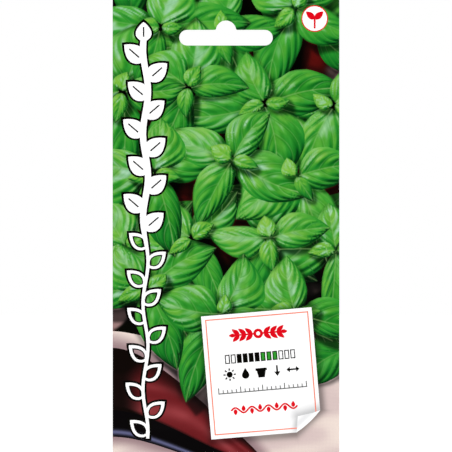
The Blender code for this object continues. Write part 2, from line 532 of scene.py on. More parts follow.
def leaf_outline(leaf, steps=22):
    shares = (1.0 - np.cos(np.linspace(0.0, np.pi, steps))) / 2
    middle = midrib(leaf, shares)
    teeth = 1.0 + 0.03 * ((shares * 9.0) % 1.0 - 0.5)
    half = leaf.width / 2 * leaf_profile(shares) * teeth
    right = zip(shares * leaf.length, middle - half * (1.0 - leaf.skew))
    left = zip(shares * leaf.length, middle + half * (1.0 + leaf.skew))
    return turned(list(right) + list(left)[-2:0:-1], leaf.base, leaf.turn)


def leaf_place(leaf, x, h):
    """Share along the leaf, distance from its midrib, and share of the half width there."""
    along, across = turned_back(x, h, leaf.base, leaf.turn)
    along = along / leaf.length
    across = across - midrib(leaf, along)
    half = leaf.width / 2 * leaf_profile(along) * (1.0 + leaf.skew * np.sign(across))
    return along, across, across / np.maximum(half, 0.05)


def vein_phase(along, v):
    """A count that is whole on each side vein, which curves forward."""
    size = np.minimum(np.abs(v), 1.2)
    sweep = VEIN_SPREAD * size + (1.0 - VEIN_SPREAD) * size**VEIN_CURVE
    return LEAF_VEINS * (along - VEIN_SWEEP * sweep) + 0.5


def leaf_form(leaf, x, h):
    """The leaf's height: arched, hollow at its midrib, puffed between veins."""
    along, across, v = leaf_place(leaf, x, h)
    size = np.minimum(np.abs(v), 1.2)
    half = leaf.width / 2
    arch = -0.36 * half * size**2.4 - 0.42 * leaf.length * (along - 0.4) ** 2
    hollow = -0.15 * half * np.exp(-((across / (0.30 * half)) ** 2))
    puff = -0.027 * half * np.cos(math.tau * vein_phase(along, v)) * smooth(size, 0.02, 0.35)
    return arch + hollow + puff * (1.0 - smooth(size, 0.75, 1.0))


def leaf_paint(leaf):
    """A paint that lights the leaf's form from the upper left."""
    light = PICTURE_LIGHT / np.linalg.norm(PICTURE_LIGHT)
    between = light + (0.0, 0.0, 1.0)
    between /= np.linalg.norm(between)

    def slope(x, h, right, up):
        rise = leaf_form(leaf, x + right, h + up) - leaf_form(leaf, x - right, h - up)
        return rise / (2 * SLOPE_STEP)

    def paint(x, h):
        along, across, v = leaf_place(leaf, x, h)
        slope_x = slope(x, h, SLOPE_STEP, 0.0)
        slope_h = slope(x, h, 0.0, SLOPE_STEP)
        normal = np.stack((leaf.lean[0] - slope_x, leaf.lean[1] - slope_h, np.ones_like(x)), axis=1)
        normal /= np.linalg.norm(normal, axis=1)[:, None]
        lit = np.clip(normal @ light, 0.0, 1.0) * leaf.tone
        colour = np.stack([np.interp(lit, LEAF_STOPS, ink) for ink in LEAF_INKS.T], axis=1)
        fresh = leaf.young + 0.3 * smooth(mottle(x, h, 6.0, leaf.grain + 1), 0.5, 0.95)
        colour = blend(colour, LEAF_YOUNG, np.minimum(fresh, 0.7) * smooth(lit, 0.3, 0.9))
        patches = mottle(vein_phase(along, v) * 2.0, across * 0.35, 1.6, leaf.grain)
        shine = smooth(normal @ between, 0.88, 0.99) * smooth(patches, 0.1, 0.7) * leaf.gloss
        colour = blend(colour, LEAF_SHINE, shine)
        edge = smooth(np.abs(v), 0.86, 1.0) * smooth(lit, 0.55, 0.9) * leaf.gloss
        return blend(colour, LEAF_PALE, 0.55 * edge)

    return paint


def leaf_veins(leaf):
    """Vein phase, distance from the midrib, and how plainly the veins show."""

    def veins(x, h):
        along, across, v = leaf_place(leaf, x, h)
        plain = (1.0 - smooth(np.abs(v), 0.7, 1.0)) * (0.3 + 0.7 * leaf.gloss)
        plain *= min(1.0, leaf.length / 18.0) * (1.0 - 0.6 * smooth(h, 126.0, 154.0))
        return np.stack((vein_phase(along, v), across, plain), axis=1)

    return veins


# Each pair of a sprig, from its outermost: length, width, reach, rise and youth of its leaves
SPRIG_PAIRS = (
    (29.0, 18.5, 2.0, 0.0, 0.0),
    (23.0, 15.5, 1.2, 2.8, 0.1),
    (9.5, 6.5, 0.4, 4.8, 0.6),
)
SPRIG_ROWS = (153.0, 127.0, 101.0, 76.0, 53.0)
SPRIG_STEP = 29.0
SPRIG_VIEW = 0.22
UNDER_LEAVES = 40

# The foliage is brightest at about this height
BRIGHT_HEIGHT = 92.0
BRIGHT_SPREAD = 26.0
BRIGHT_LIFT = 0.19


def sprig(centre, turn, elevation, draw):
    """A shoot from above: crossed pairs of leaves, younger to the middle."""
    brighter = BRIGHT_LIFT * math.exp(-(((centre[1] - BRIGHT_HEIGHT) / BRIGHT_SPREAD) ** 2))
    for number, (length, width, reach, rise, young) in enumerate(SPRIG_PAIRS):
        for side in (0, 1):
            angle = turn + number * math.pi / 2 + side * math.pi + draw.uniform(-0.3, 0.3)
            c, s = math.cos(angle), math.sin(angle)
            size = draw.uniform(0.84, 1.08)
            lean = draw.uniform(0.05, 0.4) if number < 2 else 0.2
            yield Leaf(
                base=(centre[0] + reach * c, centre[1] + reach * s),
                turn=angle,
                length=length * size * (1.0 - SPRIG_VIEW * s),
                width=width * size * draw.uniform(0.78, 1.08),
                bend=draw.uniform(-0.08, 0.08),
                skew=draw.uniform(-0.35, 0.35),
                lean=(lean * c + draw.uniform(-0.15, 0.15), lean * s + draw.uniform(-0.15, 0.15)),
                tone=draw.uniform(0.88, 1.04) + brighter,
                gloss=draw.uniform(0.5, 1.0),
                young=young,
                elevation=elevation + rise + side * 0.6,
                grain=int(draw.integers(1, 10000)),
            )


def under_leaf(draw):
    """A leaf deep in the foliage, dark and dull."""
    return Leaf(
        base=(draw.uniform(-42, 42), draw.uniform(34, 162)),
        turn=draw.uniform(0, math.tau),
        length=draw.uniform(18, 28),
        width=draw.uniform(11, 16),
        bend=draw.uniform(-0.1, 0.1),
        skew=draw.uniform(-0.2, 0.2),
        lean=(draw.uniform(-0.3, 0.3), draw.uniform(-0.3, 0.3)),
        tone=draw.uniform(0.58, 0.9),
        gloss=0.12,
        young=0.0,
        elevation=draw.uniform(-5.0, -1.0),
        grain=int(draw.integers(1, 10000)),
    )


def foliage():
    """Every printed leaf, from the deepest to the nearest."""
    draw = np.random.default_rng(12)
    leaves = [under_leaf(draw) for _ in range(UNDER_LEAVES)]
    for row, height in enumerate(SPRIG_ROWS):
        start = -HALF + (2.0 if row % 2 else 14.0)
        for column in range(3 if row % 2 == 0 else 4):
            x = start + column * SPRIG_STEP * 0.9 + draw.uniform(-3, 3)
            centre = (x, height + draw.uniform(-5, 5))
            elevation = row * 1.6 + draw.uniform(0.0, 5.0)
            leaves.extend(sprig(centre, draw.uniform(0, math.pi), elevation, draw))
    return sorted(leaves, key=lambda leaf: leaf.elevation)


class Relief:
    """The picture's depth on a grid, for the shadows between its leaves."""

    STEP = 0.25
    GROUND = -7.0
    SHADOW_STEPS = 24
    SHADOW_RISE = 1.6
    SHADOW_DEPTH = 0.56
    CREVICE_DEPTH = 0.6

    def __init__(self, leaves):
        across = -HALF + (np.arange(int(WIDTH / self.STEP)) + 0.5) * self.STEP
        x, h = np.meshgrid(across, (np.arange(int(HEIGHT / self.STEP)) + 0.5) * self.STEP)
        self.level = np.full(x.shape, self.GROUND)
        for leaf in leaves:
            along, _, v = leaf_place(leaf, x, h)
            inside = (np.abs(v) < 1.0) & (along > 0.0) & (along < 1.0)
            self.level[inside] = leaf.elevation + leaf_form(leaf, x, h)[inside]
        self.shade = self.softened(self.cast_shadows() * self.crevices())

    def shifted(self, grid, right, up):
        """The grid found at an offset, in grid steps, with the edges held."""
        rows = np.clip(np.arange(grid.shape[0]) + up, 0, grid.shape[0] - 1)
        columns = np.clip(np.arange(grid.shape[1]) + right, 0, grid.shape[1] - 1)
        return grid[np.ix_(rows, columns)]

    def around(self, grid, reach, step):
        """The grid shifted by each offset up to the reach, both ways."""
        offsets = range(-reach, reach + 1, step)
        return [self.shifted(grid, right, up) for right in offsets for up in offsets]

    def softened(self, grid):
        """The grid with each place averaged over its neighbours."""
        grids = self.around(grid, 2, 1)
        return sum(grids) / len(grids)

    def cast_shadows(self):
        """What the light from the upper left leaves in shade."""
        across = np.linalg.norm(PICTURE_LIGHT[:2])
        climb = PICTURE_LIGHT[2] / across
        dark = np.zeros_like(self.level)
        for step in range(1, self.SHADOW_STEPS + 1):
            reach = step * self.STEP
            right = round(PICTURE_LIGHT[0] / across * step)
            up = round(PICTURE_LIGHT[1] / across * step)
            over = self.shifted(self.level, right, up) - self.level - reach * climb
            dark = np.maximum(dark, np.clip(over / self.SHADOW_RISE, 0.0, 1.0))
        return 1.0 - self.SHADOW_DEPTH * dark

    def crevices(self):
        """Darkening where the leaves round a place stand well above it."""
        above = [np.clip(grid - self.level, 0.0, 8.0) for grid in self.around(self.level, 10, 5)]
        return 1.0 - self.CREVICE_DEPTH * smooth(sum(above) / len(above), 0.7, 4.8)

    def at(self, x, h):
        """The shade at print places, read between the grid's own places."""
        column = np.clip((x + HALF) / self.STEP - 0.5, 0.0, self.level.shape[1] - 1.001)
        row = np.clip(h / self.STEP - 0.5, 0.0, self.level.shape[0] - 1.001)
        left, low = column.astype(int), row.astype(int)
        across, up = column - left, row - low

        def along(row):
            return self.shade[row, left] * (1.0 - across) + self.shade[row, left + 1] * across

        return along(low) * (1.0 - up) + along(low + 1) * up


# The rest of the front's print


def ground_paint(x, h):
    """The dark between the leaves, with some pale ground at the sides."""
    colour = blend(GROUND_BLACK, GROUND_RED, smooth(mottle(x, h, 14.0, 3), 0.5, 0.95))
    pale = smooth(mottle(x, h, 11.0, 9), 0.55, 0.9) * smooth(np.abs(x), 24.0, 38.0)
    return blend(colour, GROUND_PINK, pale)


# The edges of the ribbon and its rim: the height at the left, and the fall to the right
RIBBON_TOP = (37.0, 66.0)
RIBBON_LOW = (15.0, 30.0)
RIM_TOP = (9.0, 20.0)
RIM_LOW = (5.6, 15.0)
SWEEP = 1.7
BLUSH_TOP = 41.0


def ribbon_edge(x, left, fall):
    """The height of one edge of the swept ribbon, which falls away to the right."""
    share = np.maximum((x + HALF) / WIDTH, 0.0)
    return left - fall * share**SWEEP + 6.0 * smooth(-x, 0.0, HALF) - 6.0


def blush_paint(x, h):
    """Pale cloth-coloured ground with soft folds, in shade beside the ribbon."""
    folds = mottle(0.5 * x, h, 7.0, 8)
    weave = 0.03 * np.sin(x * 5.2 + 0.8 * np.sin(h)) + 0.04 * np.sin(h * 4.6 + 0.8 * np.sin(x))
    shade = smooth(folds + weave, -0.1, 1.1)
    above = h - ribbon_edge(x, *RIBBON_TOP)
    below = ribbon_edge(x, *RIM_LOW) - h
    near = np.where(above > 0.0, 1.0 - smooth(above, 0.0, 7.0), 1.0 - smooth(below, 0.0, 5.0))
    return blend(blend(BLUSH, BLUSH_SHADE, shade), BLUSH_DEEP, 0.8 * near)


def wine_paint(x, h):
    """A satin ribbon of wine red: dark above, with broad lights along its lower half."""
    top = ribbon_edge(x, *RIBBON_TOP)
    low = ribbon_edge(x, *RIBBON_LOW)
    share = (h - low) / (top - low)
    fold = share + 0.16 * np.sin(x / 7.0)
    light = np.exp(-(((fold - 0.24) / 0.16) ** 2)) + 0.55 * np.exp(-(((fold - 0.66) / 0.09) ** 2))
    colour = blend(WINE, WINE_LIGHT, np.clip(light * (0.5 + 0.5 * mottle(x, h, 12.0, 5)), 0.0, 1.0))
    dark = np.maximum(smooth(share, 0.55, 1.0), smooth(-share, -0.07, 0.02))
    left = smooth(-x, HALF - 13.0, HALF - 3.0)
    return blend(colour, WINE_DARK, np.clip(0.75 * dark + 0.95 * left, 0.0, 1.0))


def rim_paint(x, h):
    """A slate-blue light along the near-black edging."""
    low = ribbon_edge(x, *RIM_LOW)
    share = (h - low) / (ribbon_edge(x, *RIM_TOP) - low)
    return blend(BAND_BLACK, SLATE, np.exp(-(((share - 0.5) / 0.26) ** 2)))


def band_outline(low, top):
    """The outline between two ribbon edges."""
    xs = np.linspace(-HALF, HALF, 61)
    under = [(x, ribbon_edge(x, *low)) for x in xs]
    over = [(x, ribbon_edge(x, *top)) for x in xs[::-1]]
    return under + over


VINE_X = -28.4
VINE_LOW = 5.0
VINE_HIGH = 146.0
VINE_SWAY = 0.9
VINE_WAVE = 30.0
VINE_STEM = 1.1
VINE_STEM_HIGH = 2.2
VINE_OUTLINE = 0.7
VINE_SOLID_FROM = 77.0
VINE_STEP = 6.6
VINE_TURN = 0.86
VINE_BOLD_LEAF = (9.2, 6.4)
VINE_OPEN_LEAF = (8.4, 5.4)


def vine_stem(h):
    return VINE_X + VINE_SWAY * math.sin(math.tau * h / VINE_WAVE)


def vine_leaves():
    """(base, angle, length, width) of each leaf on the climbing vine, and of its top leaf."""
    count = int((VINE_HIGH - VINE_LOW) / VINE_STEP)
    for number in range(count):
        h = VINE_LOW + 1.0 + number * VINE_STEP
        side = 1 if number % 2 else -1
        size = VINE_BOLD_LEAF if h > VINE_SOLID_FROM else VINE_OPEN_LEAF
        yield (vine_stem(h), h), math.pi / 2 - side * VINE_TURN, *size
    yield (vine_stem(VINE_HIGH), VINE_HIGH - 1.0), math.pi / 2, 7.0, 5.6


def grown(base, angle, length, width, margin):
    """A blade with its outline moved out by the margin."""
    start = (base[0] - margin * math.cos(angle), base[1] - margin * math.sin(angle))
    return blade(start, angle, length + 2.6 * margin, width + 2 * margin)


def vine_path(margin):
    """The vine's stem, thicker above, with its outline moved out by the margin."""
    hs = np.linspace(VINE_LOW - margin, VINE_HIGH, 60)
    bold = smooth(hs, VINE_SOLID_FROM - 8.0, VINE_SOLID_FROM + 8.0)
    width = VINE_STEM + (VINE_STEM_HIGH - VINE_STEM) * bold
    return stroke([(vine_stem(h), h) for h in hs], width + 2 * margin)


def add_vine(sheet):
    """A white climbing vine outlined in black: solid leaves above, open ones below."""
    leaves = list(vine_leaves())
    sheet.add(vine_path(VINE_OUTLINE), BLACK)
    for number, leaf in enumerate(leaves):
        sheet.add(grown(*leaf, VINE_OUTLINE), BLACK, group=f"vine_{number}")
    for number, leaf in enumerate(leaves):
        group = f"vine_{number}"
        sheet.add(blade(*leaf), WHITE, group=group)
        if leaf[0][1] < VINE_SOLID_FROM:
            sheet.add(grown(*leaf, -1.0), BLACK, group=group)
            sheet.add(grown(*leaf, -1.0 - 0.6 * VINE_OUTLINE), BLACK, group=group, hole=True)
        else:
            sheet.add(rib(*leaf[:3], (0.25, 0.5, 0.75), 0.5), BLACK)
    sheet.add(vine_path(0.0), WHITE)


BADGE_CENTRE = (31.3, 153.2)
BADGE_RADIUS = 4.7
BADGE_RIM = 0.36
SPROUT = 6.6


def add_leaf_pair(sheet, base, spread, length, width, colour):
    """Two blades that rise from one place, to its left and its right."""
    for side in (-1, 1):
        sheet.add(blade(base, math.pi / 2 - side * spread, length, width), colour)


def add_badge(sheet):
    """The round badge in the upper right corner, with a seedling on it."""
    sheet.add(disc(BADGE_CENTRE, BADGE_RADIUS, 40), RED)
    sheet.add(disc(BADGE_CENTRE, BADGE_RADIUS - BADGE_RIM, 40), WHITE)
    x, h = BADGE_CENTRE[0], BADGE_CENTRE[1] - 0.2
    stem = [(x, h + share * SPROUT) for share in (-0.5, -0.2, 0.1)]
    sheet.add(stroke(stem, 0.1 * SPROUT), RED)
    add_leaf_pair(sheet, (x, h), 0.85, 0.62 * SPROUT, 0.34 * SPROUT, RED)


LABEL_CENTRE = (12.5, 28.0)
LABEL_X = 39.1 / 2
LABEL_H = 43.6 / 2
LABEL_TILT = math.radians(4.8)
LABEL_INSET = 1.3
BORDER = 0.42

# The turned corner: how far up and along its fold reaches, and where its tip lies
CURL_UP = 7.1
CURL_ALONG = 8.9
CURL_CORNER = (11.5, -16.1)
FOLD_X = LABEL_X - CURL_ALONG
FOLD_H = CURL_UP - LABEL_H
FOLD_LENGTH = math.hypot(CURL_UP, CURL_ALONG)
FOLD_BOW = 0.45

# Heights on the label, from its middle, of what fills it
RED_SPRIG_H = 14.2
CALENDAR_H = 6.0
SIGNS_H = 0.6
RULER_H = -5.9
FLOURISH_H = -12.2


def on_label(points):
    """Label places, from its middle, as print places."""
    return turned(points, LABEL_CENTRE, LABEL_TILT)


def label_place(x, h):
    """Print places as label places, from its middle."""
    return turned_back(x, h, LABEL_CENTRE, LABEL_TILT)


def fold_line(steps=8):
    """The turned corner's fold, bowed a little, from the bottom to the right."""
    for share in np.linspace(0.0, 1.0, steps):
        bow = 4.0 * FOLD_BOW * share * (1.0 - share)
        u = LABEL_X - CURL_ALONG * (1.0 - share) + bow * CURL_UP / FOLD_LENGTH
        yield u, CURL_UP * share - LABEL_H - bow * CURL_ALONG / FOLD_LENGTH


def label_frame(inset):
    """The border's outline, which ends under the turned corner."""
    x, h = LABEL_X - inset, LABEL_H - inset
    return on_label([(-x, -h), (FOLD_X + 0.5, -h), (x, FOLD_H - 0.6), (x, h), (-x, h)])


def beyond_line(u, v, first, last):
    """Distance from label places to the line between two others."""
    run = np.array(last) - first
    share = ((u - first[0]) * run[0] + (v - first[1]) * run[1]) / (run @ run)
    share = np.clip(share, 0.0, 1.0)
    return np.hypot(u - first[0] - share * run[0], v - first[1] - share * run[1])


def fold_share(u, v):
    """How far a label place lies in from the fold, about 0.7 at the corner."""
    return (LABEL_X - u) / CURL_ALONG + (v + LABEL_H) / CURL_UP - 1.0


def curl_paint(x, h):
    """The turned corner's underside: a white roll, then grey, then light."""
    share = fold_share(*label_place(x, h))
    roll = blend(WHITE, CURL_GREY, smooth(share, 0.02, 0.3))
    return blend(roll, WHITE, 0.8 * smooth(share, 0.38, 0.66))


def label_paint(x, h):
    """White card, shaded softly beside the turned corner."""
    u, v = label_place(x, h)
    to_left = beyond_line(u, v, (FOLD_X, 1.5 - LABEL_H), CURL_CORNER) / 1.5
    to_top = beyond_line(u, v, CURL_CORNER, (LABEL_X - 0.5, FOLD_H)) / 2.2
    return blend(WHITE, SHADOW_GREY, np.exp(-(np.minimum(to_left, to_top) ** 1.5)))


def label_shadow(x, h):
    """The card's soft shadow on the picture, most below it and to its right."""
    u, v = label_place(x, h)
    out_u = np.maximum(np.abs(u - 0.3) - LABEL_X, 0.0)
    out_v = np.maximum(np.abs(v + 0.4) - LABEL_H, 0.0)
    away = np.hypot(out_u, out_v)
    cut = np.maximum(-fold_share(u, v), 0.0) * CURL_UP * 0.78
    by_fold = u > FOLD_X
    away = np.where(by_fold, np.maximum(away, cut), away)
    away = np.where(by_fold & (v < FOLD_H), cut, away)
    return 1.0 - 0.36 * np.exp(-((away / 1.7) ** 2))


def add_label(sheet):
    """The tilted white card with its thin border, its signs and its turned corner."""
    corners = [(-LABEL_X, -LABEL_H), *fold_line(), (LABEL_X, LABEL_H), (-LABEL_X, LABEL_H)]
    sheet.add(on_label(corners), label_paint)
    sheet.add(label_frame(LABEL_INSET), SALMON)
    sheet.add(label_frame(LABEL_INSET + BORDER), label_paint)
    add_label_signs(sheet)
    x, h = CURL_CORNER
    lifted = [(LABEL_X - 2.7, h + 0.75), (x, h), (x - 0.35, h - 2.2)]
    sheet.add(on_label([*fold_line(), *lifted]), curl_paint)


def add_label_signs(sheet):
    """What fills the label, from the top down."""
    add_red_sprig(sheet, RED_SPRIG_H)
    add_calendar(sheet, on_label, (0.0, CALENDAR_H), 2.1, 3.2, LABEL_MONTHS)
    add_growing_signs(sheet, on_label, SIGNS_H, 5.6, 1.0)
    add_ruler(sheet, RULER_H)
    add_flourish(sheet, FLOURISH_H)


def add_red_sprig(sheet, height):
    """A level sprig: paired leaves on each side of a round bud."""
    sheet.add(on_label(block(18.0, 0.6, (0.0, height))), RED)
    for side in (-1, 1):
        for number in range(3):
            base = (side * (2.0 + 2.3 * number), height)
            for up in (-1, 1):
                angle = up * 0.72 if side > 0 else math.pi - up * 0.72
                sheet.add(on_label(blade(base, angle, 3.4, 1.6)), RED)
        tip = (side * 8.0, height)
        sheet.add(on_label(blade(tip, 0.0 if side > 0 else math.pi, 2.4, 1.4)), RED)
    sheet.add(on_label(disc((0.0, height), 1.7)), RED)
    sheet.add(on_label(disc((0.0, height), 0.7, 14)), WHITE)


LABEL_MONTHS = dict.fromkeys(range(2, 6), BLACK) | dict.fromkeys(range(6, 9), LEAF_MID)
CALENDAR_GAP = 0.4
CALENDAR_LINE = 0.36


def as_drawn(points):
    """Places on the sheet itself, where a sign isn't on the label."""
    return points


def add_calendar(sheet, place, centre, pitch, height, months, empty=WHITE):
    """Twelve small boxes, one for each month, with the chosen months filled."""
    for month in range(12):
        middle = (centre[0] + (month - 5.5) * pitch, centre[1])
        width = pitch - CALENDAR_GAP
        sheet.add(place(block(width, height, middle)), BLACK)
        inner = block(width - 2 * CALENDAR_LINE, height - 2 * CALENDAR_LINE, middle)
        sheet.add(place(inner), months.get(month, empty))


def mirrored(half):
    """A closed outline from its right half, listed from the bottom up."""
    return half + [(-x, h) for x, h in half[::-1] if x]


SUN_RAY = block(0.8, 0.5, (1.8, 0.0))
SUN_RAYS = [turned(SUN_RAY, (0.0, 0.0), number * math.tau / 8) for number in range(8)]
SUN = [disc((0.0, 0.0), 1.05), *SUN_RAYS]
WATER = [[(0.0, 2.0), *arc((0.0, -0.6), 1.3, 2.6, 6.8, 14)]]
POT = [mirrored([(1.1, -1.9), (1.6, 0.5), (2.0, 0.5), (2.0, 1.4)])]
DEPTH = [mirrored([(0.0, -1.9), (1.1, -0.3), (0.3, -0.3), (0.3, 1.9)])]
ARROW = [(0.0, -0.3), (1.1, -0.3), (1.1, -1.0), (2.3, 0.0), (1.1, 1.0), (1.1, 0.3), (0.0, 0.3)]
SPACING = [mirrored(ARROW)]


def add_sign(sheet, place, sign, centre, scale, colour):
    for outline in sign:
        sheet.add(place(moved(outline, centre, scale)), colour)


def add_growing_signs(sheet, place, height, pitch, scale):
    """A row of signs for sun, water, a pot, depth and spacing."""
    for number, sign in enumerate((SUN, WATER, POT, DEPTH, SPACING)):
        add_sign(sheet, place, sign, ((number - 2) * pitch, height), scale, BLACK)


def add_ruler(sheet, height):
    """A fine grey line with ticks."""
    sheet.add(on_label(block(31.4, 0.36, (0.0, height))), GREY)
    for tick in range(21):
        tall = 2.0 if tick % 5 == 0 else 1.2
        centre = ((tick - 10) * 1.55, height + tall / 2)
        sheet.add(on_label(block(0.34, tall, centre)), GREY)


def add_flourish(sheet, height):
    """A red wave with a leaf in each bend."""
    wave = 5.85
    us = np.linspace(-2 * wave, 2 * wave, 81)
    path = [(u, height + 0.95 * math.sin(math.tau * u / wave)) for u in us]
    sheet.add(on_label(stroke(path, 0.6)), RED)
    for number in range(-4, 4):
        up = -1 if number % 2 else 1
        base = (wave / 2 * (number + 0.5), height + 0.5 * up)
        sheet.add(on_label(blade(base, -up * math.pi / 2, 2.2, 1.4, 9)), RED)


def front_sheet():
    """The whole print of the front, and its leaf shading."""
    sheet = Sheet(ground_paint)
    xs = np.linspace(-HALF, HALF, 41)
    top = [(x, BLUSH_TOP + 2.0 * math.sin(x / 9.0)) for x in xs[::-1]]
    sheet.add([(-HALF, 0.0), (HALF, 0.0), *top], blush_paint)
    sheet.add(band_outline(RIBBON_LOW, RIBBON_TOP), wine_paint)
    sheet.add(band_outline(RIM_LOW, RIBBON_LOW), BAND_BLACK)
    sheet.add(band_outline(RIM_LOW, RIM_TOP), rim_paint)
    first_leaf = len(sheet.shapes)
    leaves = foliage()
    for leaf in leaves:
        sheet.add(leaf_outline(leaf), leaf_paint(leaf), leaf_veins(leaf))
    last_leaf = len(sheet.shapes)
    relief = Relief(leaves)

    def shading(x, h, owners):
        shade = np.where(owners < last_leaf, relief.at(x, h) * label_shadow(x, h), 1.0)
        leafy = (owners >= first_leaf)[:, None]
        return np.where(leafy, shade[:, None] ** LEAF_SHADOW_POWERS, shade[:, None])

    add_vine(sheet)
    add_badge(sheet)
    add_label(sheet)
    sheet.add(slot_outline(), None)
    return sheet, shading


# The back's print

BACK_WHITE = (229, 226, 217)
BACK_GREEN = (40, 128, 48)
BACK_PALE = (226, 240, 218)
SOIL = (104, 66, 44)
SOWING = (226, 138, 44)

# The months for sowing, planting out and picking
BACK_MONTHS = (
    ((1, 2, 3, 4), SOWING),
    ((4, 5), BACK_GREEN),
    ((5, 6, 7, 8, 9), WINE_LIGHT),
)
BACK_MONTHS_STEP = 6.6
BACK_DISC_X = -29.0

# Heights on the back of its drawings, calendar, signs and lines for notes
STAGES_H = 108.0
BACK_MONTHS_H = 94.0
BACK_SIGNS_H = 67.0
NOTES_H = 53.0


def header_paint(x, h):
    """Green, a little lighter towards the top."""
    return blend(BACK_GREEN, LEAF_LIGHT, 0.6 * smooth(h, HEIGHT - HEADER, HEIGHT))


def add_header_band(sheet):
    """The header's green band, with a scalloped edge and pale leaves."""
    low = HEIGHT - HEADER
    xs = np.linspace(HALF, -HALF, 65)[::-1]
    edge = [(x, low + 0.9 * math.cos(math.tau * x / 10.0)) for x in xs]
    sheet.add([*edge, (HALF, HEIGHT), (-HALF, HEIGHT)], header_paint)
    for number in range(9):
        add_leaf_pair(sheet, ((number - 4) * 7.6, low + 4.2), 0.75, 4.4, 2.4, BACK_PALE)
    sheet.add(block(64.0, 0.5, (0.0, low + 4.2)), BACK_PALE)


def add_growth_stages(sheet, height):
    """Four drawings in a row, from a seed in the soil to a leafy plant."""
    for stage in range(4):
        x = (stage - 1.5) * 17.0
        soil = [(-7.0, -3.4), (7.0, -3.4), *arc((0.0, -9.2), 11.5, 0.92, math.pi - 0.92, 12)]
        sheet.add(moved(soil, (x, height)), SOIL)
        if stage == 0:
            seed = [(x + 0.9 * a, height - 0.4 + 0.6 * b) for a, b in disc((0.0, 0.0), 1.2)]
            sheet.add(seed, BLACK)
            continue
        top = 2.2 + 4.4 * stage
        stem = [(x, height + share * top) for share in (0.0, 0.5, 1.0)]
        sheet.add(stroke(stem, 0.7), BACK_GREEN)
        for pair in range(stage):
            size = 3.4 + 1.5 * (stage - pair)
            base = (x, height + top - 4.2 * (stage - 1 - pair) - 0.4)
            for side in (-1, 1):
                angle = math.pi / 2 - side * (0.55 + 0.28 * (stage - pair))
                sheet.add(blade(base, angle, size, 0.5 * size), BACK_GREEN)
                sheet.add(rib(base, angle, size, (0.15, 0.5, 0.85), 0.28), BACK_PALE)


def add_growing_calendar(sheet, height):
    """Three rows of month boxes, for sowing, planting and picking, each with its sign."""
    for row, (months, colour) in enumerate(BACK_MONTHS):
        middle = height - BACK_MONTHS_STEP * row
        sheet.add(disc((BACK_DISC_X, middle), 2.2), colour)
        filled = dict.fromkeys(months, colour)
        add_calendar(sheet, as_drawn, (4.6, middle), 4.8, 4.6, filled, BACK_WHITE)
    add_sign(sheet, as_drawn, DEPTH, (BACK_DISC_X, height), 0.7, WHITE)
    add_sign(sheet, as_drawn, POT, (BACK_DISC_X, height - BACK_MONTHS_STEP), 0.7, WHITE)
    leaf_base = (BACK_DISC_X - 1.4, height - 2 * BACK_MONTHS_STEP - 0.7)
    sheet.add(blade(leaf_base, 0.5, 3.4, 2.0), WHITE)


def add_sign_boxes(sheet, height):
    """Pale round-cornered boxes with the growing signs in them."""
    for number in range(5):
        centre = ((number - 2) * 13.2, height)
        sheet.add(rounded_block(11.4, 11.4, 1.6, centre), BACK_GREEN)
        sheet.add(rounded_block(10.6, 10.6, 1.3, centre), BACK_PALE)
    add_growing_signs(sheet, as_drawn, height, 13.2, 1.7)


def back_sheet():
    """The whole print of the back."""
    sheet = Sheet(BACK_WHITE)
    add_header_band(sheet)
    add_growth_stages(sheet, STAGES_H)
    add_growing_calendar(sheet, BACK_MONTHS_H)
    add_sign_boxes(sheet, BACK_SIGNS_H)
    for line in range(6):
        sheet.add(block(64.0, 0.3, (0.0, NOTES_H - 6.4 * line)), GREY)
    sheet.add(block(WIDTH, 9.0, (0.0, 4.5)), BACK_GREEN)
    sheet.add(block(WIDTH, 0.8, (0.0, 10.2)), BACK_GREEN)
    sheet.add(slot_outline(), None)
    return sheet


# Materials

# The veins' tints, and the tints that streaks and blisters run between
VEIN_DARK = (0.30, 0.55, 0.26, 1.0)
VEIN_LIGHT = (0.42, 0.70, 0.30, 1.0)
RIB_LIGHT = (0.36, 0.62, 0.22, 1.0)
STREAKS = ((0.78, 0.86, 0.76, 1.0), (1.12, 1.04, 1.12, 1.0))
BLISTERS = ((1.16, 1.07, 1.18, 1.0), (0.70, 0.82, 0.66, 1.0))

# White paper stock and dark brown seeds: speckles to the metre, colours, roughness and bump
BARE_PAPER = (5000.0, ((0.80, 0.79, 0.75, 1.0), (0.90, 0.89, 0.86, 1.0)), (0.74, 0.9), 0.3)
SEED_COAT = (900.0, ((0.012, 0.009, 0.008, 1.0), (0.06, 0.045, 0.035, 1.0)), (0.6, 0.8), 0.5)


def new_material(name):
    material = bpy.data.materials.new(name)
    material.use_nodes = True
    return material, material.node_tree, material.node_tree.nodes["Principled BSDF"]


def add_node(tree, kind, inputs=None, **settings):
    """A shader node with its settings, and each input set or linked."""
    node = tree.nodes.new("ShaderNode" + kind)
    for name, value in settings.items():
        setattr(node, name, value)
    for socket, value in (inputs or {}).items():
        if isinstance(value, bpy.types.NodeSocket):
            tree.links.new(value, node.inputs[socket])
        else:
            node.inputs[socket].default_value = value
    return node


def maths(tree, operation, first, second=0.0):
    return add_node(tree, "Math", {0: first, 1: second}, operation=operation).outputs[0]


def ranged(tree, value, low, high, to_low, to_high):
    inputs = {0: value, 1: low, 2: high, 3: to_low, 4: to_high}
    return add_node(tree, "MapRange", inputs, interpolation_type="SMOOTHSTEP").outputs[0]


def mixed(tree, factor, first, second, blend_type="MIX"):
    inputs = {0: factor, 6: first, 7: second}
    return add_node(tree, "Mix", inputs, data_type="RGBA", blend_type=blend_type).outputs[2]


def noise(tree, vector, scale, detail=3.0):
    inputs = {"Vector": vector, "Scale": scale, "Detail": detail}
    return add_node(tree, "TexNoise", inputs).outputs["Fac"]


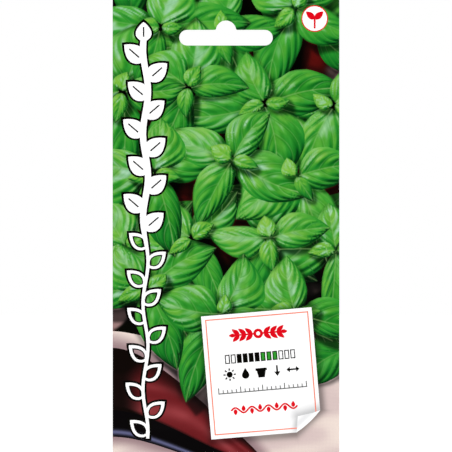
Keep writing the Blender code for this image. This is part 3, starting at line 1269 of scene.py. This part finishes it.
def add_bump(tree, shader, height, strength):
    bump = add_node(tree, "Bump", {"Strength": strength, "Distance": 0.00002, "Height": height})
    tree.links.new(bump.outputs[0], shader.inputs["Normal"])


def vein_place(tree, phase, across, scales):
    """A leaf's own place for its texture, with the side veins along one way of it."""
    inputs = {n: maths(tree, "MULTIPLY", v, scales[n]) for n, v in enumerate((phase, across))}
    return add_node(tree, "CombineXYZ", inputs).outputs[0]


def tinted(tree, colour, plain, share, tints):
    """The colour times a tint between two, as far as the veins show."""
    tint = mixed(tree, share, *tints)
    return mixed(tree, plain, colour, mixed(tree, 1.0, colour, tint, "MULTIPLY"))


def leafy(tree, colour, phase, across, plain):
    """The ink with a leaf's side veins, midrib, streaks and blisters."""
    side_vein = ranged(tree, maths(tree, "PINGPONG", phase, 0.5), 0.0, 0.075, 1.0, 0.0)
    beside = maths(tree, "PINGPONG", maths(tree, "ADD", phase, 0.12), 0.5)
    side_light = ranged(tree, beside, 0.0, 0.08, 1.0, 0.0)
    rib_line = ranged(tree, maths(tree, "ABSOLUTE", across), 0.1, 0.34, 1.0, 0.0)
    streaks = noise(tree, vein_place(tree, phase, across, (2.4, 0.16)), 1.0)
    streaks = ranged(tree, streaks, 0.3, 0.7, 0.0, 1.0)
    for mask, strength, tint, blend_type in (
        (side_vein, 0.45, VEIN_DARK, "MULTIPLY"),
        (side_light, 0.14, VEIN_LIGHT, "MIX"),
        (rib_line, 0.34, RIB_LIGHT, "MIX"),
    ):
        share = maths(tree, "MULTIPLY", maths(tree, "MULTIPLY", mask, plain), strength)
        colour = mixed(tree, share, colour, tint, blend_type)
    colour = tinted(tree, colour, plain, streaks, STREAKS)
    cell_place = vein_place(tree, phase, across, (2.0, 0.62))
    cells = add_node(tree, "TexVoronoi", {"Vector": cell_place, "Scale": 1.0}).outputs["Distance"]
    return tinted(tree, colour, plain, ranged(tree, cells, 0.05, 0.75, 0.0, 1.0), BLISTERS)


def printed_paper(name, roughness):
    """Printed paper: its ink, the leaves' fine veins, and the paper's grain."""
    material, tree, shader = new_material(name)
    ink = add_node(tree, "VertexColor", layer_name="ink").outputs["Color"]
    veins = add_node(tree, "Attribute", attribute_name="veins").outputs["Vector"]
    vein_parts = add_node(tree, "SeparateXYZ", {0: veins}).outputs
    place = add_node(tree, "TexCoord").outputs["Object"]
    colour = leafy(tree, ink, *vein_parts)
    grain = noise(tree, place, 9000.0, 2.0)
    level = ranged(tree, grain, 0.3, 0.7, 0.965, 1.02)
    grey = add_node(tree, "CombineXYZ", {0: level, 1: level, 2: level}).outputs[0]
    colour = mixed(tree, 1.0, colour, grey, "MULTIPLY")
    tree.links.new(colour, shader.inputs["Base Color"])
    worn = ranged(tree, noise(tree, place, 60.0), 0.3, 0.7, roughness - 0.04, roughness + 0.05)
    tree.links.new(worn, shader.inputs["Roughness"])
    add_bump(tree, shader, grain, 0.12)
    shader.inputs["Specular IOR Level"].default_value = INK_SPECULAR
    return material


def speckled(name, scale, colours, roughness, bump):
    """A dull material, speckled between two colours."""
    material, tree, shader = new_material(name)
    place = add_node(tree, "TexCoord").outputs["Object"]
    speckle = noise(tree, place, scale, 4.0)
    share = ranged(tree, speckle, 0.3, 0.7, 0.0, 1.0)
    tree.links.new(mixed(tree, share, *colours), shader.inputs["Base Color"])
    tree.links.new(ranged(tree, speckle, 0.3, 0.7, *roughness), shader.inputs["Roughness"])
    add_bump(tree, shader, speckle, bump)
    return material


# Pieces


def linked(name, data):
    """A new object of the scene."""
    item = bpy.data.objects.new(name, data)
    bpy.context.scene.collection.objects.link(item)
    return item


def panel_piece(name, mesh, outer, inner, node):
    """A printed panel, with bare paper inside and on its cut edges."""
    mesh.materials.append(outer)
    mesh.materials.append(inner)
    piece = linked(name, mesh)
    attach(piece, "root")
    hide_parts(node)


def make_packet():
    """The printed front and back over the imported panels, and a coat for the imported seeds."""
    paper = speckled("bare_paper", *BARE_PAPER)
    mesh = inked_mesh("packet_front", *front_sheet(), FRONT, FINE)
    ink = printed_paper("front_ink", FRONT_ROUGHNESS)
    panel_piece("packet_front", mesh, ink, paper, "front_panel")
    mesh = inked_mesh("packet_back", back_sheet(), None, BACK, COARSE)
    ink = printed_paper("back_ink", BACK_ROUGHNESS)
    panel_piece("packet_back", mesh, ink, paper, "back_panel")
    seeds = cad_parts["seeds"].data
    seeds.materials.clear()
    seeds.materials.append(speckled("seed_coat", *SEED_COAT))


# The studio

FLOOR_DROP = 0.6
FLOOR_RADIUS = 11.0
AMBIENT = 0.14
PURE_WHITE = (1.0, 1.0, 1.0, 1.0)
FLOOR_FINISH = {
    "Base Color": (0.8, 0.8, 0.8, 1.0),
    "Roughness": 0.9,
    "Emission Color": PURE_WHITE,
    "Emission Strength": 1.0,
}

# The lights on each face: place, with how far out it stands, then size and power
LIGHTS = {"key": (-0.75, 1.05, 0.6, 0.8, 7.6), "fill": (0.8, 1.05, 0.15, 0.9, 5.1)}

CAMERA_LENS = 120.0
CAMERA_SENSOR = 36.0
CAMERA_CROP = 0.0030


def make_floor():
    """A wide pale floor, well below the hanging packet."""
    bpy.ops.mesh.primitive_circle_add(vertices=96, radius=FLOOR_RADIUS, fill_type="NGON")
    floor = bpy.context.object
    floor.name = "floor"
    floor.location = (0.0, 0.0, BOTTOM - FLOOR_DROP)
    material, _, shader = new_material("floor")
    for socket, value in FLOOR_FINISH.items():
        shader.inputs[socket].default_value = value
    floor.data.materials.append(material)


def make_light(name, place, size, energy):
    """A square softbox that faces the packet's middle."""
    data = bpy.data.lights.new(name, "AREA")
    data.size = size
    data.energy = energy
    light = linked(name, data)
    light.location = place
    target = Vector((0.0, 0.0, BOTTOM + HEIGHT / 2 * MM))
    light.rotation_euler = (target - light.location).to_track_quat("-Z", "Y").to_euler()


def make_studio():
    """White surroundings, and soft lights to both sides of each face."""
    scene = bpy.context.scene
    world = bpy.data.worlds.new("studio")
    scene.world = world
    world.use_nodes = True
    tree = world.node_tree
    backdrop = add_node(tree, "Background", {"Color": PURE_WHITE, "Strength": 1.0})
    ambient = tree.nodes["Background"]
    ambient.inputs["Color"].default_value = PURE_WHITE
    ambient.inputs["Strength"].default_value = AMBIENT
    seen = add_node(tree, "LightPath").outputs["Is Camera Ray"]
    both = add_node(tree, "MixShader", {0: seen, 1: ambient.outputs[0], 2: backdrop.outputs[0]})
    tree.links.new(both.outputs[0], tree.nodes["World Output"].inputs["Surface"])
    for side, face in ((FRONT, "front"), (BACK, "back")):
        for word, (x, out, z, size, energy) in LIGHTS.items():
            make_light(f"{face}_{word}", (x, side * out, z), size, energy)
    scene.view_settings.view_transform = "Standard"


def make_camera():
    """A long lens, straight on, with the packet's height filling the picture."""
    data = bpy.data.cameras.new("camera")
    data.lens = CAMERA_LENS
    data.sensor_width = CAMERA_SENSOR
    camera = linked("camera", data)
    distance = HEIGHT * MM * CAMERA_LENS / CAMERA_SENSOR * (1.0 - CAMERA_CROP)
    camera.location = (0.0, -distance - PAPER * MM, BOTTOM + HEIGHT / 2 * MM)
    camera.rotation_euler = (math.pi / 2, 0.0, 0.0)
    bpy.context.scene.camera = camera


make_packet()
make_floor()
make_studio()
make_camera()
